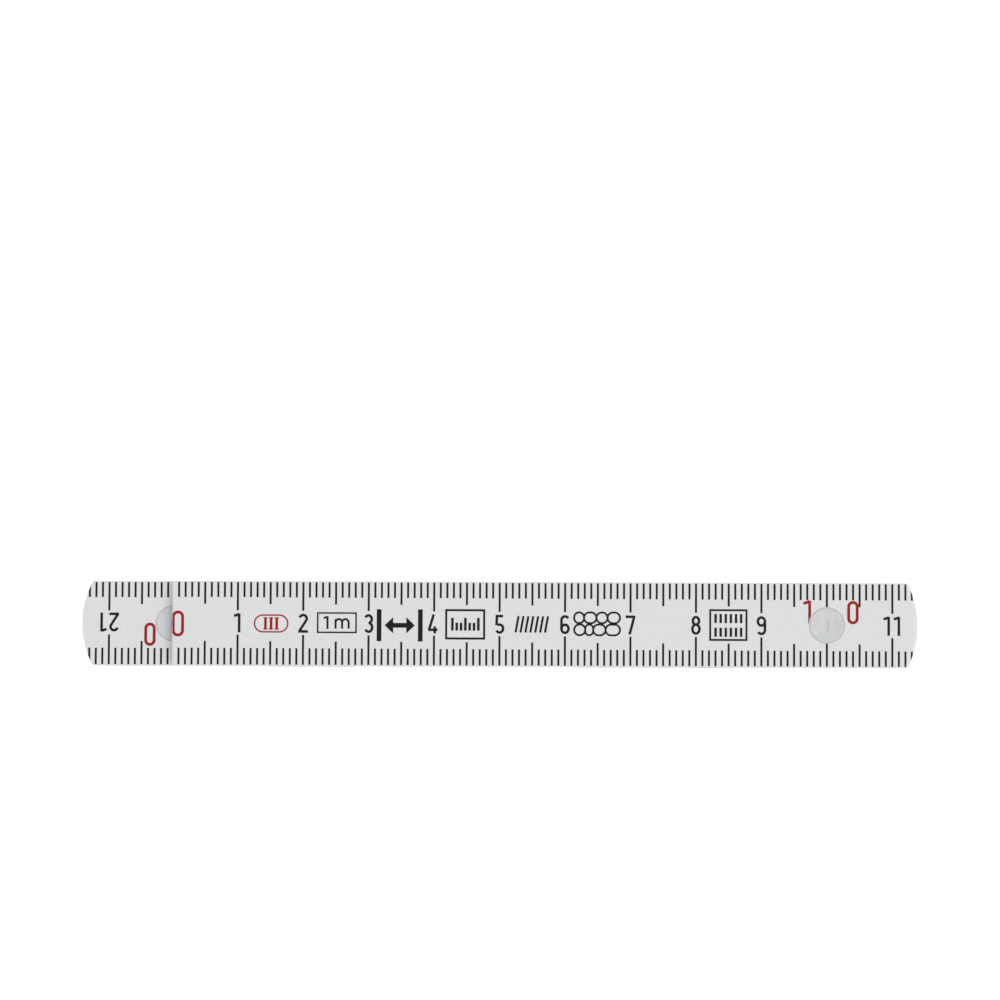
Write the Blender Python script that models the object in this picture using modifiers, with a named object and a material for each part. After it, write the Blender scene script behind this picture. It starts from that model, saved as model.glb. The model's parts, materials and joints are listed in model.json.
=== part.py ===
"""A one metre folding rule of ten moulded sections, lying folded with its first section on top.

Each section turns on the next about a vertical pivot. The pivots lie at the two ends of the stack
in turn. At each one a round boss on the front of the lower section seats in a recess in the back
of the upper one, and a rivet with a spring washer under its head holds the two together.

+X runs along the rule, +Y across it and +Z up, from the last section to the first. The origin is
at the middle of the stack's underside. Lengths are in metres.
"""

from math import atan2, cos, pi, radians, sin, sqrt

import bmesh
import bpy

MM = 0.001

# Sections
SECTION_COUNT = 10
PIVOT_PITCH = 100 * MM
WIDTH = 13 * MM
THICKNESS = 2.04 * MM
LAYER_GAP = 0.1 * MM
LAYER_PITCH = THICKNESS + LAYER_GAP
END_RADIUS = 14 * MM  # of each round end, about its pivot
CORNER_RADIUS = 0.5 * MM
FOLDED_ANGLE = pi  # of each section on the one above it

# Bearing boss, and the recess that it turns in
BOSS_RADIUS = 6.77 * MM
BOSS_TOP_RADIUS = 6.64 * MM
BOSS_HEIGHT = 0.37 * MM
BOSS_CLEARANCE = 0.05 * MM  # of its flank in the recess, in radius, besides what the layer gap gives

# Detent: a rib across the boss drops into one of two crossed grooves in the recess
RIB_LENGTH = 11.8 * MM
RIB_WIDTH = 0.9 * MM
RIB_HEIGHT = 0.06 * MM
GROOVE_LENGTH = 12.2 * MM
GROOVE_WIDTH = 1.3 * MM
GROOVE_DEPTH = 0.08 * MM

# Rivet, from the front of one section to the back of the next
RIVET_LENGTH = LAYER_PITCH + THICKNESS
HEAD_RADIUS = 2.67 * MM
HEAD_THICKNESS = 0.6 * MM
HEAD_CHAMFER = 0.12 * MM
SHANK_RADIUS = 1.5 * MM
TAIL_RADIUS = 2.3 * MM
TAIL_LENGTH = 0.7 * MM
RIVET_CLEARANCE = 0.09 * MM  # of the head, shank and tail in their seats, in radius
COUNTERBORE_DEPTH = 0.97 * MM

# Conical spring washer, between the rivet's head and the counterbore's floor
WASHER_INNER_RADIUS = 1.7 * MM
WASHER_OUTER_RADIUS = 2.58 * MM
WASHER_THICKNESS = 0.15 * MM
WASHER_END_GAP = 0.02 * MM

# Tools reach this far past what they cut, trim or join
OVERRUN = 0.6 * MM

ARC_STEPS = 10
CORNER_STEPS = 3
BOSS_STEPS = 48
RIVET_STEPS = 24


def clear_scene():
    for obj in list(bpy.data.objects):
        bpy.data.objects.remove(obj, do_unlink=True)


def new_collection(name):
    collection = bpy.data.collections.new(name)
    bpy.context.scene.collection.children.link(collection)
    return collection


def new_material(name, color, roughness, metallic=0.0):
    material = bpy.data.materials.new(name)
    material.use_nodes = True
    shader = material.node_tree.nodes["Principled BSDF"]
    shader.inputs["Base Color"].default_value = (*color, 1.0)
    shader.inputs["Roughness"].default_value = roughness
    shader.inputs["Metallic"].default_value = metallic
    return material


def add_part(name, mesh, collection, material, parent, location, angle=0.0):
    """Place a sub-part on its parent, turned about Z."""
    part = bpy.data.objects.new(name, mesh)
    part.parent = parent
    part.location = location
    part.rotation_euler.z = angle
    if not mesh.materials:
        mesh.materials.append(material)
    collection.objects.link(part)
    return part


def add_tool(name, mesh, collection, parent, location):
    """Place a cutter or a joining shape: it stays in the file but isn't a part of the rule."""
    tool = bpy.data.objects.new(name, mesh)
    tool.parent = parent
    tool.location = location
    tool.hide_render = True
    tool.display_type = "WIRE"
    collection.objects.link(tool)
    return tool


def add_boolean(part, operation, tool):
    modifier = part.modifiers.new(tool.name, "BOOLEAN")
    modifier.operation = operation
    modifier.object = tool


def shade_curved_faces(mesh):
    """Shade smooth every face that doesn't lie square to an axis, so flat faces keep crisp edges."""
    for face in mesh.polygons:
        face.use_smooth = max(abs(component) for component in face.normal) < 0.9999


def evaluated_mesh(obj, name):
    """The mesh that an object's modifiers or curve settings make of it."""
    graph = bpy.context.evaluated_depsgraph_get()
    mesh = bpy.data.meshes.new_from_object(obj.evaluated_get(graph))
    mesh.name = name
    return mesh


def weld(mesh, distance):
    work = bmesh.new()
    work.from_mesh(mesh)
    bmesh.ops.remove_doubles(work, verts=work.verts, dist=distance)
    work.to_mesh(mesh)
    work.free()


def box_mesh(name, low, high):
    work = bmesh.new()
    bmesh.ops.create_cube(work, size=1.0)
    size = [b - a for a, b in zip(low, high)]
    middle = [(a + b) / 2 for a, b in zip(low, high)]
    bmesh.ops.scale(work, vec=size, verts=work.verts)
    bmesh.ops.translate(work, vec=middle, verts=work.verts)
    mesh = bpy.data.meshes.new(name)
    work.to_mesh(mesh)
    work.free()
    return mesh


def frustum_mesh(name, low_radius, high_radius, low, high, steps):
    work = bmesh.new()
    bmesh.ops.create_cone(
        work,
        cap_ends=True,
        segments=steps,
        radius1=low_radius,
        radius2=high_radius,
        depth=high - low,
    )
    bmesh.ops.translate(work, vec=(0, 0, (low + high) / 2), verts=work.verts)
    mesh = bpy.data.meshes.new(name)
    work.to_mesh(mesh)
    work.free()
    shade_curved_faces(mesh)
    return mesh


def turned_mesh(name, profile, steps, closed=False):
    """Turn a profile of (radius, height) points about Z. It runs down its outer side."""
    outline = bpy.data.meshes.new(name + "_profile")
    last = len(profile) if closed else len(profile) - 1
    edges = [(i, (i + 1) % len(profile)) for i in range(last)]
    outline.from_pydata([(radius, 0, height) for radius, height in profile], edges, [])
    lathe = bpy.data.objects.new(name + "_lathe", outline)
    bpy.context.scene.collection.objects.link(lathe)
    screw = lathe.modifiers.new("Screw", "SCREW")
    screw.steps = steps
    screw.render_steps = steps
    screw.use_merge_vertices = True
    screw.merge_threshold = 0.001 * MM
    mesh = evaluated_mesh(lathe, name)
    bpy.data.objects.remove(lathe)
    bpy.data.meshes.remove(outline)
    mesh.shade_smooth()
    mesh.set_sharp_from_angle(angle=radians(30))
    return mesh


def arc(centre_x, centre_y, radius, start, end, steps):
    angles = [start + (end - start) * i / steps for i in range(steps + 1)]
    return [(centre_x + radius * cos(a), centre_y + radius * sin(a)) for a in angles]


def end_outline(is_round):
    """An end on +X of a pivot at the origin, from the -Y edge round to the +Y edge.

    A square end lies on the pivot's own line. Either kind has small rounded corners.
    """
    corner_y = WIDTH / 2 - CORNER_RADIUS
    corner_x, turn, nose = -CORNER_RADIUS, 0, []
    if is_round:
        corner_x = sqrt((END_RADIUS - CORNER_RADIUS) ** 2 - corner_y**2)
        turn = atan2(corner_y, corner_x)
        nose = arc(0, 0, END_RADIUS, -turn, turn, ARC_STEPS)[1:-1]
    right = arc(corner_x, -corner_y, CORNER_RADIUS, -pi / 2, -turn, CORNER_STEPS)
    left = arc(corner_x, corner_y, CORNER_RADIUS, turn, pi / 2, CORNER_STEPS)
    return right + nose + left


def section_outline(near_round, far_round):
    """A section seen from its front, near pivot at the origin and far pivot on +X."""
    far_end = [(PIVOT_PITCH + x, y) for x, y in end_outline(far_round)]
    near_end = [(-x, -y) for x, y in end_outline(near_round)]
    return far_end + near_end


def die_mesh(name, near_round, far_round):
    """A prism with a section's outline, taller than the section, that trims a blank to shape."""
    curve = bpy.data.curves.new(name + "_curve", "CURVE")
    curve.dimensions = "2D"
    curve.fill_mode = "BOTH"
    curve.extrude = THICKNESS / 2 + BOSS_HEIGHT + OVERRUN
    points = section_outline(near_round, far_round)
    spline = curve.splines.new("POLY")
    spline.points.add(len(points) - 1)
    for point, (x, y) in zip(spline.points, points):
        point.co = (x, y, 0, 1)
    spline.use_cyclic_u = True

    prism = bpy.data.objects.new(name + "_prism", curve)
    bpy.context.scene.collection.objects.link(prism)
    mesh = evaluated_mesh(prism, name)
    bpy.data.objects.remove(prism)
    bpy.data.curves.remove(curve)
    weld(mesh, 0.001 * MM)
    shade_curved_faces(mesh)
    return mesh


def blank_mesh():
    """The flat plate that a section is trimmed from."""
    reach = END_RADIUS + OVERRUN
    side = WIDTH / 2 + OVERRUN
    low = (-reach, -side, 0)
    high = (PIVOT_PITCH + reach, side, THICKNESS)
    return box_mesh("section_blank", low, high)


def boss_mesh(name, clearance=0.0):
    """The boss's cone on the plane z = 0, carried on below it at the same slope."""
    flare = (BOSS_RADIUS - BOSS_TOP_RADIUS) / BOSS_HEIGHT * OVERRUN
    base = BOSS_RADIUS + flare + clearance
    top = BOSS_TOP_RADIUS + clearance
    return frustum_mesh(name, base, top, -OVERRUN, BOSS_HEIGHT, BOSS_STEPS)


def bar_mesh(name, length, width, low, high, across=False):
    """A bar centred on a pivot, along the section or across it."""
    x, y = (width / 2, length / 2) if across else (length / 2, width / 2)
    return box_mesh(name, (-x, -y, low), (x, y, high))


def seat_mesh():
    """The space that a rivet and its washer need: counterbore, bore and countersink, cut in one.

    z = 0 is the front of the upper section.
    """
    head = HEAD_RADIUS + RIVET_CLEARANCE
    bore = SHANK_RADIUS + RIVET_CLEARANCE
    tail = TAIL_RADIUS + RIVET_CLEARANCE
    profile = [
        (0, OVERRUN),
        (head, OVERRUN),
        (head, -COUNTERBORE_DEPTH),
        (bore, -COUNTERBORE_DEPTH),
        (bore, TAIL_LENGTH - RIVET_LENGTH),
        (tail, -RIVET_LENGTH),
        (tail, -RIVET_LENGTH - OVERRUN),
        (0, -RIVET_LENGTH - OVERRUN),
    ]
    return turned_mesh("rivet_seat", profile, RIVET_STEPS)


def rivet_mesh():
    """Flush head, shank and spread tail. z = 0 is the front of the upper section."""
    profile = [
        (0, 0),
        (HEAD_RADIUS - HEAD_CHAMFER, 0),
        (HEAD_RADIUS, -HEAD_CHAMFER),
        (HEAD_RADIUS, -HEAD_THICKNESS),
        (SHANK_RADIUS, -HEAD_THICKNESS),
        (SHANK_RADIUS, TAIL_LENGTH - RIVET_LENGTH),
        (TAIL_RADIUS, -RIVET_LENGTH),
        (0, -RIVET_LENGTH),
    ]
    return turned_mesh("hinge_rivet", profile, RIVET_STEPS)


def washer_mesh():
    """A cone that presses its inner edge up on the rivet's head and its outer edge on the floor."""
    inner_top = -HEAD_THICKNESS - WASHER_END_GAP
    outer_bottom = -COUNTERBORE_DEPTH + WASHER_END_GAP
    profile = [
        (WASHER_INNER_RADIUS, inner_top),
        (WASHER_OUTER_RADIUS, outer_bottom + WASHER_THICKNESS),
        (WASHER_OUTER_RADIUS, outer_bottom),
        (WASHER_INNER_RADIUS, inner_top - WASHER_THICKNESS),
    ]
    return turned_mesh("spring_washer", profile, RIVET_STEPS, closed=True)


def add_sections(parts, material):
    """The chain of plates. Each one hangs on the far pivot of the one above, folded back under it."""
    mesh = blank_mesh()
    top = (-PIVOT_PITCH / 2, 0, (SECTION_COUNT - 1) * LAYER_PITCH)
    sections = [add_part("section_01", mesh, parts, material, None, top)]
    for number in range(2, SECTION_COUNT + 1):
        hinge = (PIVOT_PITCH, 0, -LAYER_PITCH)
        name = f"section_{number:02}"
        sections.append(add_part(name, mesh, parts, material, sections[-1], hinge, FOLDED_ANGLE))
    return sections


def add_bosses(sections, tools):
    """Join a boss and its detent rib to the front of every section but the first."""
    boss = boss_mesh("boss")
    rib = bar_mesh("detent_rib", RIB_LENGTH, RIB_WIDTH, BOSS_HEIGHT / 2, BOSS_HEIGHT + RIB_HEIGHT)
    for number, section in enumerate(sections[1:], start=2):
        for kind, mesh in (("boss", boss), ("detent_rib", rib)):
            tool = add_tool(f"{kind}_{number:02}", mesh, tools, section, (0, 0, THICKNESS))
            add_boolean(section, "UNION", tool)


def trim_outlines(sections, tools):
    """Trim each blank: the first section is square at its near end, the last at its far end."""
    dies = {
        "first": die_mesh("die_first", near_round=False, far_round=True),
        "middle": die_mesh("die_middle", near_round=True, far_round=True),
        "last": die_mesh("die_last", near_round=True, far_round=False),
    }
    for number, section in enumerate(sections, start=1):
        kind = {1: "first", SECTION_COUNT: "last"}.get(number, "middle")
        die = add_tool(f"die_{number:02}", dies[kind], tools, section, (0, 0, THICKNESS / 2))
        add_boolean(section, "INTERSECT", die)


def cut_joints(sections, tools):
    """Cut each joint's recess and grooves in the upper section, and the rivet's seat in both."""
    recess = boss_mesh("recess", BOSS_CLEARANCE)
    floor = BOSS_HEIGHT + GROOVE_DEPTH
    along = bar_mesh("groove_along", GROOVE_LENGTH, GROOVE_WIDTH, -OVERRUN, floor)
    across = bar_mesh("groove_across", GROOVE_LENGTH, GROOVE_WIDTH, -OVERRUN, floor, across=True)
    seat = seat_mesh()
    for number, (upper, lower) in enumerate(zip(sections, sections[1:]), start=1):
        for kind, mesh in (("recess", recess), ("groove_along", along), ("groove_across", across)):
            tool = add_tool(f"{kind}_{number:02}", mesh, tools, upper, (PIVOT_PITCH, 0, 0))
            add_boolean(upper, "DIFFERENCE", tool)
        tool = add_tool(f"rivet_seat_{number:02}", seat, tools, upper, (PIVOT_PITCH, 0, THICKNESS))
        add_boolean(upper, "DIFFERENCE", tool)
        add_boolean(lower, "DIFFERENCE", tool)


def add_rivets(sections, parts, material):
    """Each rivet is staked into the lower section, and turns in the upper one."""
    mesh = rivet_mesh()
    for number, lower in enumerate(sections[1:], start=1):
        top = (0, 0, THICKNESS + LAYER_PITCH)
        add_part(f"hinge_rivet_{number:02}", mesh, parts, material, lower, top)


def add_washers(sections, parts, material):
    mesh = washer_mesh()
    for number, upper in enumerate(sections[:-1], start=1):
        seat = (PIVOT_PITCH, 0, THICKNESS)
        add_part(f"spring_washer_{number:02}", mesh, parts, material, upper, seat)


def build():
    clear_scene()
    parts = new_collection("folding_rule")
    tools = new_collection("folding_rule_tools")
    polyamide = new_material("glass_filled_polyamide", (0.76, 0.77, 0.78), 0.5)
    acetal = new_material("rivet_acetal", (0.66, 0.67, 0.67), 0.4)
    steel = new_material("spring_steel", (0.55, 0.54, 0.52), 0.35, metallic=1.0)

    sections = add_sections(parts, polyamide)
    add_bosses(sections, tools)
    trim_outlines(sections, tools)
    cut_joints(sections, tools)
    add_rivets(sections, parts, acetal)
    add_washers(sections, parts, steel)


build()
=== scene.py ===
"""Looks of a one metre folding rule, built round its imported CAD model.

Every section and rivet is made again here, finer than in the CAD, and the print is a thin film of
ink. Each piece rides on the CAD body of its section. The spring washers are the CAD's own.

+X runs along the folded rule from the zero end to the first pivot, +Y across it and +Z up, with
the first section on top. Lengths are in metres. A section and its print are laid out in the
section's own frame: near pivot at the origin, far pivot on +X, back at z = 0 and front on +Z.
"""

import json
from math import atan2, ceil, cos, floor, pi, radians, sin, sqrt

import bmesh
import bpy
from mathutils import Matrix, Vector

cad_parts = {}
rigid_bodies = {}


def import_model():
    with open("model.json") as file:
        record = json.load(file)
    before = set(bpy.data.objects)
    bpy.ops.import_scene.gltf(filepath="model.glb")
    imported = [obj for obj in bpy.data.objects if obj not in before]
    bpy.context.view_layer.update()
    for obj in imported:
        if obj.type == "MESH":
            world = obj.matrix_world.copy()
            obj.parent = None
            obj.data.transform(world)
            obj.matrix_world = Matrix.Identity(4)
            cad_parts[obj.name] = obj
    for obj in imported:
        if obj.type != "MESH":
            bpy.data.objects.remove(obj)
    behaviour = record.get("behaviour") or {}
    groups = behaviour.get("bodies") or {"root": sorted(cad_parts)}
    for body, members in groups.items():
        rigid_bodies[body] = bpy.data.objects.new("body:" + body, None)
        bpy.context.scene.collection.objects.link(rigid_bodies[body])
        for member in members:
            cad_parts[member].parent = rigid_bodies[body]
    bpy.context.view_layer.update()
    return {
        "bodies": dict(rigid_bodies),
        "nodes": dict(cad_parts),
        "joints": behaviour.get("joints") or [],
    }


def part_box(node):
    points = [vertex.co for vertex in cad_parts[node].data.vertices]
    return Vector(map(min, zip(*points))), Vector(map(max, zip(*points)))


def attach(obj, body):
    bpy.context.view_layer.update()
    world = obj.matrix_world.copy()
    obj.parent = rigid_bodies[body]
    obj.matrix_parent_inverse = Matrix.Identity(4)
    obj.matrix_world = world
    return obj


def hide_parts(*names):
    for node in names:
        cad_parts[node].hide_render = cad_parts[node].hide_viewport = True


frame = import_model()

MM = 0.001

# Sizes that the CAD settles
first_low, first_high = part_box("section_01")
SECTION_COUNT = len(frame["bodies"])
PIVOT_X = frame["joints"][0]["pos_m"][0]
PIVOT_PITCH = 2 * PIVOT_X
WIDTH = first_high.y - first_low.y
THICKNESS = first_high.z - first_low.z
LAYER_PITCH = first_low.z / (SECTION_COUNT - 1)
END_RADIUS = first_high.x - PIVOT_X

# Sections
CORNER_RADIUS = 0.5 * MM
RIM_ROUNDING = 0.1 * MM
FIRST_END_ROUNDING = 0.75 * MM  # of the front rim at the first section's round end
NOSE_STEPS = 32
CORNER_STEPS = 6
RIM_STEPS = 4
CREASE_ANGLE = radians(35)

# Joints: the boss of the lower section, and the recess round it in the upper one
BOSS_RADIUS = 6.77 * MM
BOSS_TOP_RADIUS = 6.64 * MM
BOSS_HEIGHT = 0.37 * MM
BOSS_ROUNDING = 0.06 * MM
BOSS_CLEARANCE = 0.05 * MM
BOSS_SIDE_INSET = 0.002 * MM  # behind the section's long edges
RIB_SIZE = (11.8 * MM, 0.9 * MM, 0.06 * MM)
GROOVE_SIZE = (12.2 * MM, 1.3 * MM, 0.08 * MM)
BOSS_STEPS = 128
OVERRUN = 0.6 * MM  # of a cutter past the face that it cuts
FACET_TURN = pi / 384  # keeps the facets' edges of two round cutters from meeting

# Rivets, and the holes that they lie in
HEAD_RADIUS = 2.67 * MM
HEAD_THICKNESS = 0.6 * MM
HEAD_ROUNDING = 0.05 * MM
HEAD_DISH = 0.1 * MM
HEAD_GAP = 0.03 * MM
COUNTERBORE_DEPTH = 0.97 * MM
SHANK_RADIUS = 1.5 * MM
TAIL_RADIUS = 2.3 * MM
TAIL_LENGTH = 0.7 * MM
TAIL_DISH = 0.08 * MM
SEAT_CLEARANCE = 0.06 * MM
GATE_MARK = (0.9 * MM, 2.3 * MM, 0.36 * MM)  # width and length, and depth below the lifted middle
GATE_LIFT = 0.2 * MM
RIVET_STEPS = 96
GATE_STEPS = 16

# Round marks that the mould's ejector pins leave, beyond each pivot
EJECTOR_RADIUS = 1.25 * MM
EJECTOR_DEPTH = 0.02 * MM
EJECTOR_REACH = 7.1 * MM

# Ink: a film whose place on the faces is a little off, as print is
FILM_HEIGHT = 0.01 * MM
FILM_SINK = 0.01 * MM
FILM_STEP = 0.0005 * MM  # between strokes that cross
PRINT_SHIFTS = ((-0.13 * MM, 0.0), (0.0, 0.05 * MM))  # on even and on odd sections
PRINT_TILT = radians(-0.1)
PRINT_END_MARGIN = 0.04 * MM
PRINT_SIDE_MARGIN = 0.2 * MM
SEAT_MARGIN = 0.12 * MM  # of the ink round a rivet
CURVE_STEPS = 10  # in a quarter turn
BENT_INK_CELL = 0.12 * MM
CORNER_START = 2.0  # x over y from the pivot, where a round end turns into its corners

# Scale: where the lines of 1, 5 and 10 mm start from the middle, and how it runs up to the joints
TICK_WIDTH = 0.32 * MM
TICK_REACH = WIDTH / 2 + 1 * MM
TICK_INNER_ENDS = {1: 3.88 * MM, 5: 2.83 * MM, 10: 1.85 * MM}
TICK_PARTS = 4
END_REACH_MM = 13
JOINT_COVER_MM = 8

# Figures: half width and half height of their centre lines, and stroke width
BLACK_FIGURE = (0.54 * MM, 1.25 * MM, 0.4 * MM)
RED_FIGURE = (0.65 * MM, 1.56 * MM, 0.44 * MM)
ZERO_FIGURE = (0.71 * MM, 1.76 * MM, 0.44 * MM)
START_ZERO = (0.87 * MM, -0.2 * MM)  # its middle
FIGURE_PITCH = 1.55 * MM
FIGURE_Y = -0.06 * MM
RED_FIGURE_PITCH = 2.25 * MM
END_NUMBER_INSET = 3.2 * MM

# Red tens about their rivet: the x of the first and of the last figure, and the y of both
FIRST_TEN = (-2.9 * MM, 3.98 * MM, 2.01 * MM)
OTHER_TENS = (-3.73 * MM, 3.73 * MM, 1.78 * MM)
TENS_PARTS = 6

# Frames of the first section's marks: middle x and y, half width, half height and line width
CLASS_OVAL = (15.1 * MM, -0.12 * MM, 2.54 * MM, 1.28 * MM, 0.22 * MM)
LENGTH_BOX = (25.15 * MM, 0.05 * MM, 2.93 * MM, 1.48 * MM, 0.24 * MM)
SCALE_BOX = (44.75 * MM, -0.1 * MM, 2.9 * MM, 2.16 * MM, 0.32 * MM)
ROWS_BOX = (84.95 * MM, 0.0, 2.77 * MM, 2.27 * MM, 0.3 * MM)

# Accuracy class: a numeral of three bars with serifs
CLASS_BAR_PITCH = 0.86 * MM
CLASS_BAR = (0.95 * MM, 0.4 * MM)  # half height and line width
CLASS_SERIF = (0.32 * MM, 0.18 * MM)  # half length and line width
CLASS_SERIF_Y = 0.86 * MM

# Length: a figure in the style of the scale's, and a letter m
LENGTH_FIGURE = (0.4 * MM, 0.82 * MM, 0.32 * MM)
LENGTH_FIGURE_X = 23.55 * MM
LETTER_M = (24.95 * MM, -0.85 * MM, 0.95 * MM, 0.5 * MM)  # left, foot, stem and arch radius

# Double arrow between two bars
ARROW_BARS = (31.6 * MM, 37.9 * MM)
ARROW_BAR_HALF = 2.45 * MM
ARROW_Y = -0.3 * MM
ARROW_LINE = 0.72 * MM
ARROW_SHAFT_INSET = 1.4 * MM
ARROW_TIP_INSET = 0.85 * MM
ARROW_HEAD = (1.3 * MM, 1.25 * MM)  # length and half width

# Short scale in a box
BOXED_SCALE_START = (42.8 * MM, -1.05 * MM)
BOXED_SCALE_PITCH = 0.66 * MM
BOXED_SCALE_HEIGHTS = (1.95 * MM, 1.2 * MM, 1.2 * MM)
BOXED_SCALE_LINE = 0.4 * MM
BOXED_SCALE_COUNT = 7

# Row of slanted bars
SLANT_START = (52.45 * MM, -1.3 * MM)
SLANT_RUN = (0.45 * MM, 2.5 * MM)
SLANT_PITCH = 0.75 * MM
SLANT_LINE = 0.34 * MM
SLANT_COUNT = 7

# Two rows of capsules: the y of each row, and its capsules' half widths in millimetres
CAPSULE_ROWS = ((1.0 * MM, (0.75, 0.95, 0.85, 0.95)), (-0.84 * MM, (0.85, 0.6, 0.95, 1.1)))
CAPSULE_LEFT = 61.4 * MM
CAPSULE_HALF = 0.82 * MM
CAPSULE_LINE = 0.3 * MM

# Two rows of bars in a box
BOXED_ROWS = (-1.1 * MM, 1.0 * MM)
BOXED_ROWS_LEFT = 83.0 * MM
BOXED_ROWS_PITCH = 0.78 * MM
BOXED_ROWS_BAR = (0.7 * MM, 0.38 * MM)  # half height and line width
BOXED_ROWS_COUNT = 6

# Marks across the stack's long edge, by x and z in the row frame: two rows of capsules,
EDGE_CAPSULE = (1.25 * MM, 1.75 * MM, 0.22 * MM)  # half width, half height and line width
EDGE_CAPSULE_ROWS = (12.1 * MM, 8.05 * MM)
EDGE_CAPSULE_LEFT = -34.9 * MM
EDGE_CAPSULE_PITCH = 2.75 * MM
EDGE_CAPSULE_COUNT = 5

# plain bars of several widths, some of them longer,
EDGE_BAR_LEFT = -17.0 * MM
EDGE_BAR_TOP = 12.7 * MM
EDGE_BAR_FOOT = 9.7 * MM
EDGE_BAR_COUNT = 44
EDGE_BAR_PITCHES = (0.56 * MM, 0.59 * MM)
EDGE_BAR_WIDTHS = (0.22 * MM, 0.4 * MM, 0.3 * MM, 0.22 * MM, 0.56 * MM)
EDGE_LONG_BARS = (0, 1, 21, 22, 42, 43)
EDGE_LONG_BAR_FOOT = 8.45 * MM

# slanted bars over a row of dashes,
EDGE_SLANT_START = (12.3 * MM, 8.3 * MM)
EDGE_SLANT_RISES = (4.4 * MM, 6.0 * MM)
EDGE_SLANT_RUN = 1.5 * MM
EDGE_SLANT_PITCH = 3.1 * MM
EDGE_SLANT_LINE = 1.5 * MM
EDGE_SLANT_COUNT = 5
EDGE_DASH_START = (11.8 * MM, 6.3 * MM)
EDGE_DASH_LENGTH = 1.2 * MM
EDGE_DASH_PITCH = 1.75 * MM
EDGE_DASH_LINE = 0.5 * MM
EDGE_DASH_COUNT = 9

# and a double ring
EDGE_RING_MIDDLE = (32.55 * MM, 13.95 * MM)
EDGE_RING_RADII = (3.6 * MM, 1.6 * MM)
EDGE_RING_LINE = 0.32 * MM

# Colours, as the darkest and the lightest tone
PLASTIC_TONES = ((0.655, 0.668, 0.676), (0.705, 0.715, 0.72))
RIVET_TONES = ((0.535, 0.55, 0.56), (0.585, 0.595, 0.605))
BLACK_INK_TONES = ((0.004, 0.004, 0.003), (0.012, 0.011, 0.01))
RED_INK_TONES = ((0.275, 0.008, 0.005), (0.345, 0.012, 0.008))
STEEL_TONES = ((0.42, 0.41, 0.39), (0.56, 0.55, 0.53))
FLOOR_TONES = ((0.93, 0.93, 0.93), (0.95, 0.95, 0.95))

# Camera: its height over the face, and where along Y it stands and aims
CAMERA_HEIGHT = 540 * MM
CAMERA_Y = -9 * MM
AIM_Y = 19 * MM
CAMERA_ROLL = radians(0.205)
CAMERA_LENS = 127.2
SENSOR_WIDTH = 36
CAMERA_REACH = (10 * MM, 100)

# Floor and light. What shines on the object and what the camera sees behind it differ in strength
FLOOR_SIZE = 30
FLOOR_GLOW = 0.45
ROOM_STRENGTH = 0.65
BACKDROP_STRENGTH = 1.05
SUN_STRENGTH = 1.27
SUN_SOFTNESS = radians(50)
SUN_DIRECTION = (0.38, -0.12, 1.0)


def span(start, end, steps):
    """Evenly spaced values, with both ends."""
    return [start + (end - start) * i / steps for i in range(steps + 1)]


# ---------------------------------------------------------------- solids


def mesh_from(name, vertices, faces):
    mesh = bpy.data.meshes.new(name)
    mesh.from_pydata(vertices, [], faces)
    return mesh


def end_outline(is_round):
    """An end about its pivot, from -Y round to +Y, as (centre x, centre y, radius, angle)."""
    corner_y = WIDTH / 2 - CORNER_RADIUS
    corner_x, turn, nose = -CORNER_RADIUS, 0, []
    if is_round:
        corner_x = sqrt((END_RADIUS - CORNER_RADIUS) ** 2 - corner_y**2)
        turn = atan2(corner_y, corner_x)
        nose = [(0, 0, END_RADIUS, angle) for angle in span(-turn, turn, NOSE_STEPS)[1:-1]]
    right = [(corner_x, -corner_y, CORNER_RADIUS, a) for a in span(-pi / 2, -turn, CORNER_STEPS)]
    left = [(corner_x, corner_y, CORNER_RADIUS, a) for a in span(turn, pi / 2, CORNER_STEPS)]
    return right + nose + left


def section_outline(near_round, far_round):
    """The outline of a section, anticlockwise from its far end, in the same form as an end's."""
    far = [(PIVOT_PITCH + x, y, radius, angle) for x, y, radius, angle in end_outline(far_round)]
    near = [(-x, -y, radius, angle + pi) for x, y, radius, angle in end_outline(near_round)]
    return far + near


def rim_ring(outline, end_rounding, lean, front):
    """The outline's points on a rounded rim where it leans by an angle: upright at 0, flat at 90."""
    ring = []
    for x, y, radius, angle in outline:
        rounding = RIM_ROUNDING + (end_rounding - RIM_ROUNDING) * max(0, cos(angle))
        reach = radius - rounding * (1 - cos(lean))
        depth = rounding * (1 - sin(lean))
        z = THICKNESS - depth if front else depth
        ring.append((x + reach * cos(angle), y + reach * sin(angle), z))
    return ring


def plate_mesh(outline, front_end_rounding):
    """A section's plate with rounded rims."""
    leans = span(0, pi / 2, RIM_STEPS)
    rings = [rim_ring(outline, RIM_ROUNDING, lean, front=False) for lean in reversed(leans)]
    rings += [rim_ring(outline, front_end_rounding, lean, front=True) for lean in leans]
    count = len(outline)
    vertices = [point for ring in rings for point in ring]
    faces = []
    for level in range(len(rings) - 1):
        for i in range(count):
            a, b = level * count + i, level * count + (i + 1) % count
            faces.append((a, b, b + count, a + count))
    back = tuple(reversed(range(count)))
    front = tuple(range(len(vertices) - count, len(vertices)))
    return mesh_from("plate", vertices, [*faces, back, front])


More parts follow.
